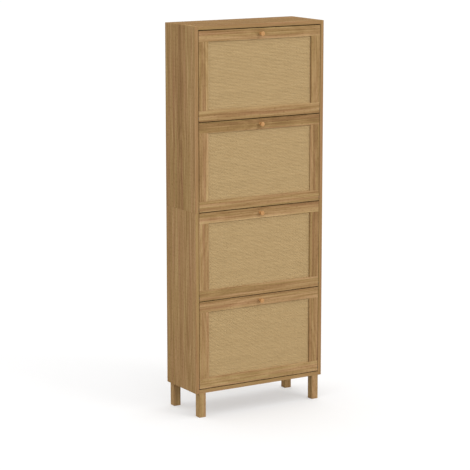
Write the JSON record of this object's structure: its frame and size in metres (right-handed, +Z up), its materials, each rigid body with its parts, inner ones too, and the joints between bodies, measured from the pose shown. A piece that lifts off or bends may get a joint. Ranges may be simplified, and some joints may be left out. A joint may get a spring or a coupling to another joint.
{
  "type": "shoe cabinet",
  "caption": "Tall shallow shoe cabinet on square legs, with tip-out doors of woven panel in a board frame, each carrying a sloping shoe rack.",
  "frame": {"origin": "on the floor, under the middle of the box that holds the carcass and the knobs", "axes": "+Z up, +X to the right of someone facing the doors, -Y towards that person"},
  "size_m": [0.6, 0.255, 1.57],
  "materials": {
    "oak_board": "oak-look decor board, satin, fine vertical or lengthwise grain",
    "woven_cane": "fine flat weave of natural straw-coloured strands, matte",
    "knob_beech": "turned beech, clear satin lacquer",
    "shelf_board": "melamine-faced board, pale, satin",
    "hardboard": "thin pressed fibreboard, bare brown, matte",
    "rack_plastic": "moulded, fine texture",
    "nylon": "moulded, dark brown",
    "zinc_steel": "bright zinc plated",
    "dowel_beech": "plain fluted beech"
  },
  "bodies": {
    "cabinet": {"side_left_lower": "oak_board", "side_left_upper": "oak_board", "side_right_lower": "oak_board", "side_right_upper": "oak_board", "top_panel": "oak_board", "middle_shelf": "oak_board", "bottom_panel": "oak_board", "cross_rails": "oak_board", "back_panel_lower": "hardboard", "back_panel_upper": "hardboard", "leg_front_left": "oak_board", "leg_front_right": "oak_board", "leg_back_left": "oak_board", "leg_back_right": "oak_board", "pivot_bushes": "nylon", "stop_studs": "nylon", "cam_fittings": "zinc_steel", "dowels": "dowel_beech", "wall_brackets": "zinc_steel", "carcass_screws": "zinc_steel"},
    "door_1": {"door_1_top_rail": "oak_board", "door_1_bottom_rail": "oak_board", "door_1_left_stile": "oak_board", "door_1_right_stile": "oak_board", "door_1_woven_panel": "woven_cane", "door_1_knob": "knob_beech", "door_1_left_rack_plate": "rack_plastic", "door_1_right_rack_plate": "rack_plastic", "door_1_rack_shelves": "shelf_board", "door_1_pins_and_screws": "zinc_steel"},
    "door_2": {"door_2_top_rail": "oak_board", "door_2_bottom_rail": "oak_board", "door_2_left_stile": "oak_board", "door_2_right_stile": "oak_board", "door_2_woven_panel": "woven_cane", "door_2_knob": "knob_beech", "door_2_left_rack_plate": "rack_plastic", "door_2_right_rack_plate": "rack_plastic", "door_2_rack_shelves": "shelf_board", "door_2_pins_and_screws": "zinc_steel"},
    "door_3": {"door_3_top_rail": "oak_board", "door_3_bottom_rail": "oak_board", "door_3_left_stile": "oak_board", "door_3_right_stile": "oak_board", "door_3_woven_panel": "woven_cane", "door_3_knob": "knob_beech", "door_3_left_rack_plate": "rack_plastic", "door_3_right_rack_plate": "rack_plastic", "door_3_rack_shelves": "shelf_board", "door_3_pins_and_screws": "zinc_steel"},
    "door_4": {"door_4_top_rail": "oak_board", "door_4_bottom_rail": "oak_board", "door_4_left_stile": "oak_board", "door_4_right_stile": "oak_board", "door_4_woven_panel": "woven_cane", "door_4_knob": "knob_beech", "door_4_left_rack_plate": "rack_plastic", "door_4_right_rack_plate": "rack_plastic", "door_4_rack_shelves": "shelf_board", "door_4_pins_and_screws": "zinc_steel"}
  },
  "joints": [
    {"name": "door_1_tilt", "type": "hinge", "parent": "cabinet", "child": "door_1", "pos_m": [0, -0.0995, 1.20887], "axis": [1, 0, 0], "range_deg": [0, 40]},
    {"name": "door_2_tilt", "type": "hinge", "parent": "cabinet", "child": "door_2", "pos_m": [0, -0.0995, 0.84975], "axis": [1, 0, 0], "range_deg": [0, 40]},
    {"name": "door_3_tilt", "type": "hinge", "parent": "cabinet", "child": "door_3", "pos_m": [0, -0.0995, 0.49062], "axis": [1, 0, 0], "range_deg": [0, 40]},
    {"name": "door_4_tilt", "type": "hinge", "parent": "cabinet", "child": "door_4", "pos_m": [0, -0.0995, 0.1315], "axis": [1, 0, 0], "range_deg": [0, 40]}
  ]
}
